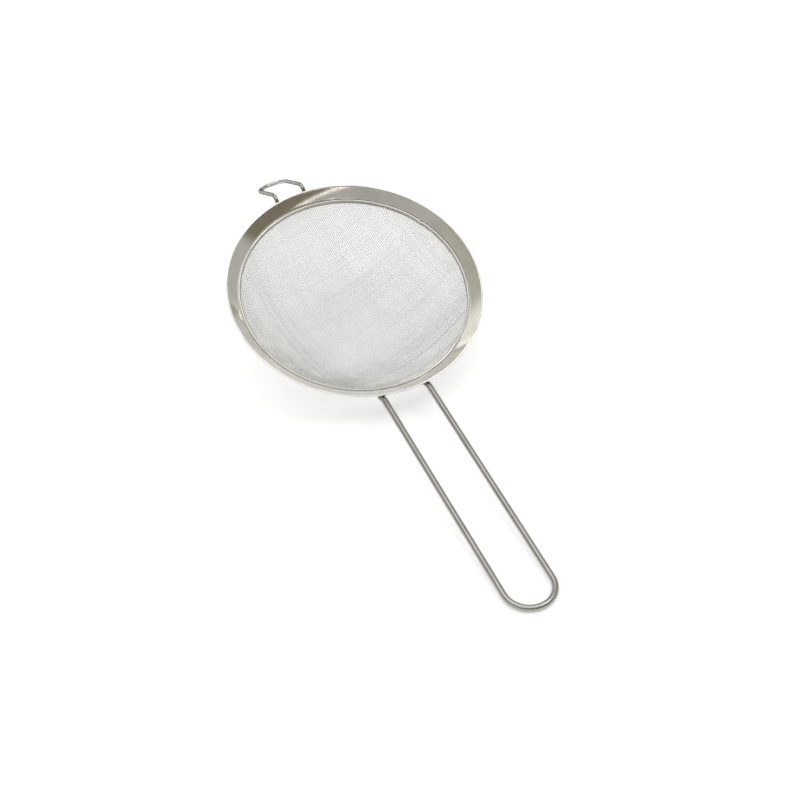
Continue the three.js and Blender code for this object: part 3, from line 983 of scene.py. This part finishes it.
crossing = sum_of(t, "ADD", sum_of(t, "DIVIDE", flat[0], step), sum_of(t, "DIVIDE", flat[1], pitch))
wave = sum_of(t, "MULTIPLY", sum_of(t, "COSINE", sum_of(t, "MULTIPLY", crossing, math.pi)), math.sqrt(2))
half_wire = sum_of(t, "MULTIPLY", given["Wire"], 0.5)
lift = sum_of(t, "MULTIPLY", wave, sum_of(t, "MULTIPLY", given["Over first"], half_wire))
depth = sum_of(t, "ADD", given["Bowl radius"], lift)
pressed_part = sum_of(t, "MINIMUM", from_middle, given["Mouth"])
bent_up = sum_of(t, "MAXIMUM", sum_of(t, "SUBTRACT", from_middle, given["Mouth"]), 0.0)
slope = sum_of(t, "DIVIDE", pressed_part, given["Bowl radius"])
from_axis = sum_of(t, "MULTIPLY", depth, sum_of(t, "SINE", slope))
outwards = sum_of(t, "DIVIDE", from_axis, sum_of(t, "MAXIMUM", from_middle, 1e-6))
down = sum_of(t, "MULTIPLY", depth, sum_of(t, "COSINE", slope))
pressed = add(t, "ShaderNodeCombineXYZ", {2: sum_of(t, "SUBTRACT", bent_up, down)})
bends = clouds(t, place, BENDS_PER_MM, 2)["Color"]
aside = add(t, "ShaderNodeSeparateXYZ", {0: bends}).outputs
for axis in (0, 1):
    waver = sum_of(t, "MULTIPLY", sum_of(t, "SUBTRACT", aside[axis], 0.5), given["Waver"])
    fill(t, pressed.inputs[axis], sum_of(t, "MULTIPLY", sum_of(t, "ADD", flat[axis], waver), outwards))
turning = {"Vector": pressed.outputs[0], "Angle": given["Turn"]}
swung = add(t, "ShaderNodeVectorRotate", turning, rotation_type="Z_AXIS").outputs[0]
shaped = add(t, "GeometryNodeSetPosition", {"Geometry": disc.outputs[0], "Position": swung}).outputs[0]
fill(t, result["Cloth"], round_wire(t, shaped, given["Wire"], 6, given["Steel"]))
print("tree:", t.name, len(t.nodes), "nodes")

# %% The two families of wires, each in two halves
WARP_PITCH = 1.28
WEFT_PITCH = 1.15
CLOTH_WIRE = 0.35
CLOTH_TURN = math.radians(14)
CLOTH_WAVER = 1.2
GRIPPED_SHARE = 0.7
disc_radius = bowl_radius * wall_angle + GRIPPED_SHARE * CLOTH_GRIP
cloth_values = {
    "Wire": CLOTH_WIRE,
    "Disc": disc_radius,
    "Mouth": bowl_radius * wall_angle,
    "Bowl radius": bowl_radius - (CLOTH_WIRE - CLOTH_THICKNESS / 2),
    "Waver": CLOTH_WAVER,
    "Steel": cloth_steel,
}
bowl_place = on_table @ Matrix.Translation(bowl_centre)
cloth_rows = (
    ("cloth_warp", WARP_PITCH, WEFT_PITCH, 0.0, 1.0),
    ("cloth_weft", WEFT_PITCH, WARP_PITCH, math.pi / 2, -1.0),
)
for title, own_pitch, other_pitch, turn, over in cloth_rows:
    last = math.floor(disc_radius / own_pitch - 1.5)
    values = {
        **cloth_values,
        "Pitch": own_pitch,
        "Crossing pitch": other_pitch,
        "Crossings": 2 * math.ceil(disc_radius / other_pitch) + 1,
        "Turn": CLOTH_TURN + turn,
        "Over first": over,
    }
    for half, first, wires in (("_first_half", -last, last), ("_second_half", 0, last + 1)):
        values.update({"First wire": first, "Wires": wires})
        family = grown(t, title + half, bpy.data.meshes.new(title + "_start"), values, bowl_place)
        finished(family, title + half, cloth_steel, "cloth_steel", "mesh_bowl")

# %% [markdown]
# ## Size
# The finished strainer has to fill the same box as its solids, so the box of the finished pieces is printed.

# %% Print the finished size
low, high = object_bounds()
print("visual size", [round((b - a) * 1000, 1) for a, b in zip(low, high)], "mm")
